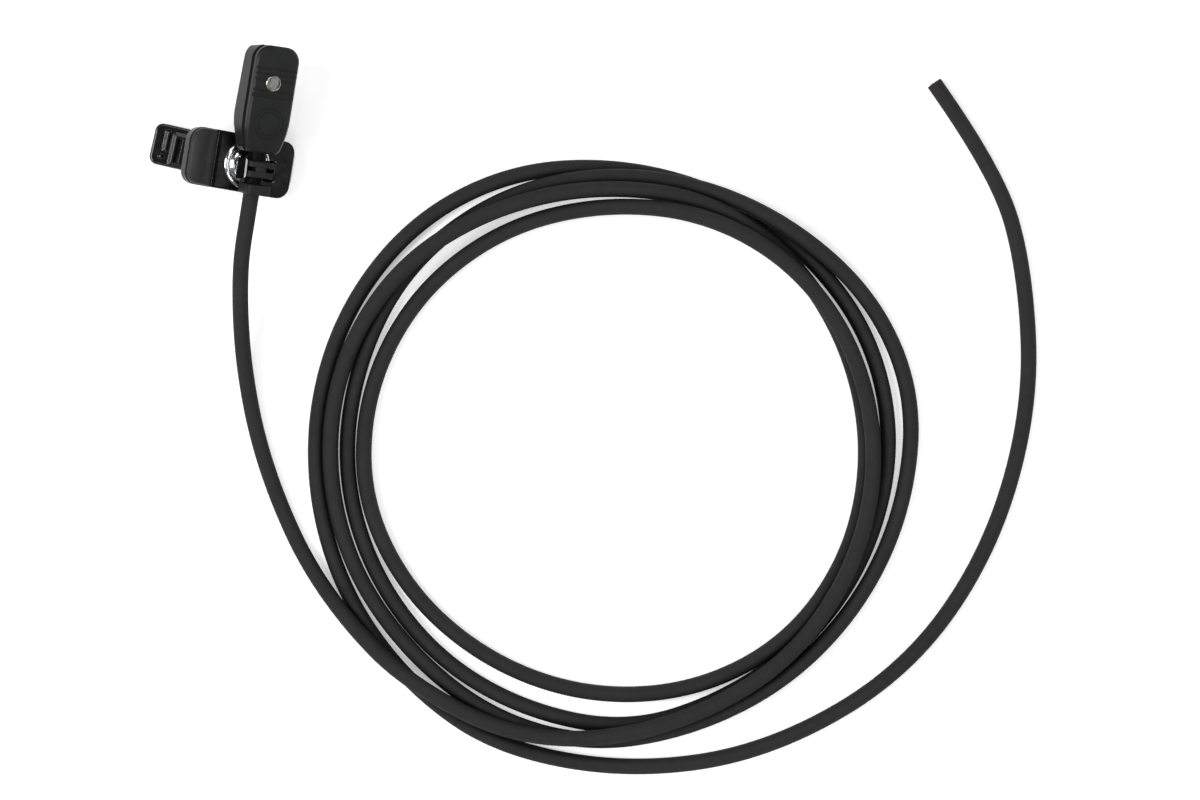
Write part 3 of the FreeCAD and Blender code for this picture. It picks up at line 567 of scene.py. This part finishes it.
M = {
    "housing": moulded("housing_black_fine_grain", (0.0176, 0.0180, 0.0182), (0.0220, 0.0224, 0.0226), (0.28, 0.36),
                       9000.0, 0.000010, 0.35, 0.00009, 0.10),
    "chrome": metal("polished_chrome", (0.50, 0.51, 0.52), (0.10, 0.18), edge=0.00005),
    "mesh": metal("woven_steel_mesh", (0.62, 0.60, 0.56), (0.26, 0.40), edge=0.00001),
    "aluminium": metal("drawn_aluminium", (0.70, 0.70, 0.71), (0.25, 0.38), (1.0, 1.0, 12.0)),
    "film": metal("gold_film", (0.80, 0.66, 0.36), (0.18, 0.26)),
    "insulator": moulded("ivory_insulator", (0.58, 0.55, 0.48), (0.66, 0.63, 0.56), (0.35, 0.5)),
    "board": moulded("green_board", (0.010, 0.075, 0.030), (0.016, 0.11, 0.045), (0.25, 0.4), 6000.0),
    "brass": metal("turned_brass", (0.72, 0.52, 0.24), (0.2, 0.34), (1.0, 1.0, 14.0)),
    "copper": metal("bare_copper", (0.78, 0.42, 0.26), (0.25, 0.4)),
    "soft": moulded("soft_black_rubber", (0.0078, 0.0076, 0.0076), (0.0112, 0.0109, 0.0109), (0.50, 0.64),
                    7000.0, 0.000014, 0.45, None, 0.30),
    # painted shade: a near-black, nearly unreflecting material for the relief's core between the ribs, where shade
    # falls; the friction washer takes it too
    "core": moulded("relief_core_painted_shade", (0.0024, 0.0024, 0.0024), (0.0036, 0.0036, 0.0036), (0.44, 0.54),
                    7000.0, 0.000010, 0.35, None, 0.06),
    "pad": moulded("soft_touch_pad", (0.0150, 0.0149, 0.0146), (0.0194, 0.0193, 0.0188), (0.46, 0.58),
                   6500.0, 0.000012, 0.5, None, 0.42),
    "clip": moulded("clip_black_gloss", (0.0022, 0.0022, 0.0023), (0.0036, 0.0036, 0.0037), (0.19, 0.27),
                    4200.0, 0.000005, 0.16, 0.00012, 0.46),
    "tail": moulded("clip_tail_black_gloss", (0.0024, 0.0024, 0.0025), (0.0040, 0.0040, 0.0041), (0.17, 0.24),
                    4200.0, 0.000005, 0.16, 0.00010, 0.72),
    "cradle": moulded("cradle_black_gloss", (0.0040, 0.0040, 0.0041), (0.0062, 0.0062, 0.0064), (0.13, 0.20),
                      4200.0, 0.000004, 0.15, 0.00006, 0.62),
    "spring": metal("spring_steel", (0.48, 0.48, 0.49), (0.22, 0.36)),
    "red": moulded("red_insulation", (0.36, 0.02, 0.02), (0.42, 0.03, 0.03), (0.3, 0.45)),
    "white": moulded("white_insulation", (0.66, 0.66, 0.64), (0.72, 0.72, 0.70), (0.3, 0.45)),
    "filler": moulded("fibre_filler", (0.50, 0.48, 0.42), (0.62, 0.60, 0.54), (0.7, 0.9), 12000.0),
}

# the cable's jacket: matte, with faint extrusion marks and a fine dull bloom
cm = Mat("cable_jacket_black")
co = cm.coords()
cloud = cm.noise(co, 130.0, 5.0, 0.6)
jacket = cm.ramp(cloud, [(0.28, (0.0184, 0.0177, 0.0180)), (0.72, (0.0240, 0.0231, 0.0235))])
# painted shade: an ambient-occlusion node over the cable alone darkens the jacket's colour where the turns lie close
# to each other
near = cm.node("ShaderNodeAmbientOcclusion")
near.samples = 6
near.only_local = True
near.inputs["Distance"].default_value = 0.0022
painted_turn_shade = cm.spread(near.outputs["AO"], 0.10, 1.0, 0.38, 0.97)
mixed = cm.node("ShaderNodeMix")
mixed.data_type = "RGBA"
mixed.blend_type = "MULTIPLY"
mixed.inputs["Factor"].default_value = 1.0
cm.link(jacket, mixed.inputs[6])
cm.link(painted_turn_shade, mixed.inputs[7])
cm.link(mixed.outputs[2], cm.b.inputs["Base Color"])
cm.link(cm.spread(cm.noise(co, 900.0, 4.0, 0.6), 0.72, 0.86), cm.b.inputs["Roughness"])
cm.link(cm.bump(cm.noise(co, 5200.0, 3.0, 0.6), 0.45, 0.000016), cm.b.inputs["Normal"])
cm.set(Specular_IOR_Level=0.22)
M["cable"] = cm.m

NODE_MATERIAL = {
    "rear_housing": "housing", "front_housing": "housing", "port_ring": "chrome", "port_mesh": "mesh",
    "capsule_seal": "soft", "capsule_can": "aluminium", "diaphragm_ring": "brass", "diaphragm": "film",
    "capsule_spacer": "insulator", "backplate": "brass", "backplate_holder": "insulator",
    "fet_transistor": "clip", "capsule_board": "board", "signal_lead": "red", "ground_lead": "white",
    "cable_stub": "cable", "crimp_sleeve": "brass", "strain_relief": "soft", "mic_cradle": "cradle",
    "swivel_disc": "chrome", "friction_washer": "core", "swivel_rivet": "chrome",
    "upper_arm": "clip", "thumb_pad": "pad", "lower_arm": "tail", "hinge_pin": "chrome",
    "torsion_spring": "spring",
}

for name, key in NODE_MATERIAL.items():
    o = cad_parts[name]
    for s in o.material_slots:
        s.material = M[key]
    if not o.material_slots:
        o.data.materials.append(M[key])

# painted shade: faces within 1.21 mm of the cable's axis (the core between the ribs and the exit lip) take the
# second, darker material
relief.data.materials.append(M["soft"])
relief.data.materials.append(M["core"])
to_mic = MIC.inverted()
for poly in relief.data.polygons:
    q = to_mic @ Vector((poly.center.x * 1000.0 + OX, poly.center.y * 1000.0 + OY, poly.center.z * 1000.0))
    if math.hypot(q.x, q.z) < 1.21:
        poly.material_index = 1

for o, key, slot in ((pad, "pad", "soft_black"), (spring, "spring", "spring_steel"),
                     (weave, "mesh", "mesh_steel")):
    o.data.materials.append(M[key])

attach(pad, "clip_upper")
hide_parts("thumb_pad")
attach(relief, "microphone")
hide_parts("strain_relief")
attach(weave, "microphone")
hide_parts("port_mesh")
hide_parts("torsion_spring")
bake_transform(spring)

# the cable's cut end: two insulated cores in a ring of shield strands
end = Vector(CORD[-1])
away = (end - Vector(CORD[-2])).normalized()
side = away.cross(Vector((0, 0, 1))).normalized()
rise = side.cross(away)


def at_end(s, r, out):
    return end + side * s + rise * r + away * out


def stub(s, r, radius, inset, out, sides=14):
    pts = [at_end(s, r, -inset), at_end(s, r, out * 0.5), at_end(s, r, out)]
    return tube_along(pts, radius, sides)


strands = []
for i in range(26):
    a = 2 * math.pi * i / 26
    rad = 0.66 + 0.02 * math.sin(i * 2.3)
    strands.append(stub(rad * math.cos(a), rad * math.sin(a), 0.055, 0.15, 0.03 + 0.025 * math.sin(i * 1.7), 8))
for nm, key, geometry in (
        ("cable_shield_strands", "copper", merged(strands)),
        ("cable_core_signal", "red", stub(-0.28, 0.05, 0.25, 0.15, 0.035, 24)),
        ("cable_core_ground", "white", stub(0.28, -0.05, 0.25, 0.15, 0.035, 24)),
        ("cable_core_wires", "copper", merged([stub(x + dx, y + dy, 0.038, 0.1, 0.062, 8)
                                               for x, y in ((-0.28, 0.05), (0.28, -0.05))
                                               for dx, dy in ((0, 0), (0.07, 0), (-0.07, 0), (0.035, 0.061), (-0.035, 0.061), (0.035, -0.061), (-0.035, -0.061))])),
        ("cable_filler", "filler", merged([stub(x, y, 0.12, 0.15, 0.012, 12) for x, y in ((0.0, 0.42), (0.0, -0.42), (0.0, 0.24), (0.0, -0.24))]))):
    o = finish_mesh(nm, *geometry, TABLE)
    o.data.materials.append(M[key])
    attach(o, "microphone")

curve.materials.append(M["cable"])
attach(cord, "microphone")
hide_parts("cord_lead", "cord_coil", "cord_tail")

# --------------------------------------------------------------- the stage
floor_mesh = bpy.data.meshes.new("floor")
S = 3.0
floor_mesh.from_pydata([(-S, -S, 0), (S, -S, 0), (S, S, 0), (-S, S, 0)], [], [(0, 1, 2, 3)])
floor = add("floor", floor_mesh)
fm = bpy.data.materials.new("floor_white")
fm.use_nodes = True
fb = fm.node_tree.nodes["Principled BSDF"]
fb.inputs["Base Color"].default_value = (0.90, 0.90, 0.90, 1)
fb.inputs["Roughness"].default_value = 0.8
fb.inputs["Specular IOR Level"].default_value = 0.1
fb.inputs["Emission Color"].default_value = (1, 1, 1, 1)
fb.inputs["Emission Strength"].default_value = 0.42
floor_mesh.materials.append(fm)


def area(name, at, aim, size, power, color=(1, 1, 1)):
    d = bpy.data.lights.new(name, "AREA")
    d.shape = "RECTANGLE"
    d.size, d.size_y = size
    d.energy = power
    d.color = color
    o = add(name, d)
    o.location = at
    o.rotation_mode = "QUATERNION"
    o.rotation_quaternion = (Vector(aim) - Vector(at)).to_track_quat("-Z", "Y")
    return o


# four soft boxes round the camera, none straight above
centre = R(48.0, -23.0)
tilt = math.radians(33.0)
reach = 1.30
for name, az, power in (("softbox_left", 180.0, 9.8), ("softbox_back", 90.0, 2.6), ("softbox_right", 0.0, 5.4), ("softbox_front", 270.0, 3.5)):
    a = math.radians(az + 9.0)
    at = centre + Vector((math.sin(tilt) * math.cos(a), math.sin(tilt) * math.sin(a), math.cos(tilt))) * reach
    area(name, at, centre, (0.62, 0.46), power)

# a soft grey room, darker overhead, low on the right and low at the back
world = bpy.data.worlds.new("world")
scene.world = world
world.use_nodes = True
wt = world.node_tree
bg = wt.nodes["Background"]
wco = wt.nodes.new("ShaderNodeTexCoord")


def toward(direction, inner, outer):
    """0 within the inner angle of a direction, rising to 1 at the outer one."""
    d = wt.nodes.new("ShaderNodeVectorMath")
    d.operation = "DOT_PRODUCT"
    d.inputs[1].default_value = Vector(direction).normalized()
    wt.links.new(wco.outputs["Generated"], d.inputs[0])
    m = wt.nodes.new("ShaderNodeMapRange")
    m.interpolation_type = "SMOOTHSTEP"
    m.inputs["From Min"].default_value = math.cos(math.radians(outer))
    m.inputs["From Max"].default_value = math.cos(math.radians(inner))
    m.inputs["To Min"].default_value = 1.0
    m.inputs["To Max"].default_value = 0.0
    wt.links.new(d.outputs["Value"], m.inputs["Value"])
    return m.outputs["Result"]


mul = wt.nodes.new("ShaderNodeMath")
mul.operation = "MULTIPLY"
wt.links.new(toward((0.88, 0.0, 0.47), 24.0, 55.0), mul.inputs[0])
wt.links.new(toward((0.0, 0.0, 1.0), 12.0, 30.0), mul.inputs[1])
back_dim = wt.nodes.new("ShaderNodeMath")
back_dim.operation = "MULTIPLY"
wt.links.new(mul.outputs["Value"], back_dim.inputs[0])
wt.links.new(toward((-0.15, 0.95, 0.30), 34.0, 58.0), back_dim.inputs[1])
level = wt.nodes.new("ShaderNodeMapRange")
level.inputs["To Min"].default_value = 0.015
level.inputs["To Max"].default_value = 0.24
wt.links.new(back_dim.outputs["Value"], level.inputs["Value"])
wt.links.new(level.outputs["Result"], bg.inputs["Strength"])
bg.inputs["Color"].default_value = (1, 1, 1, 1)
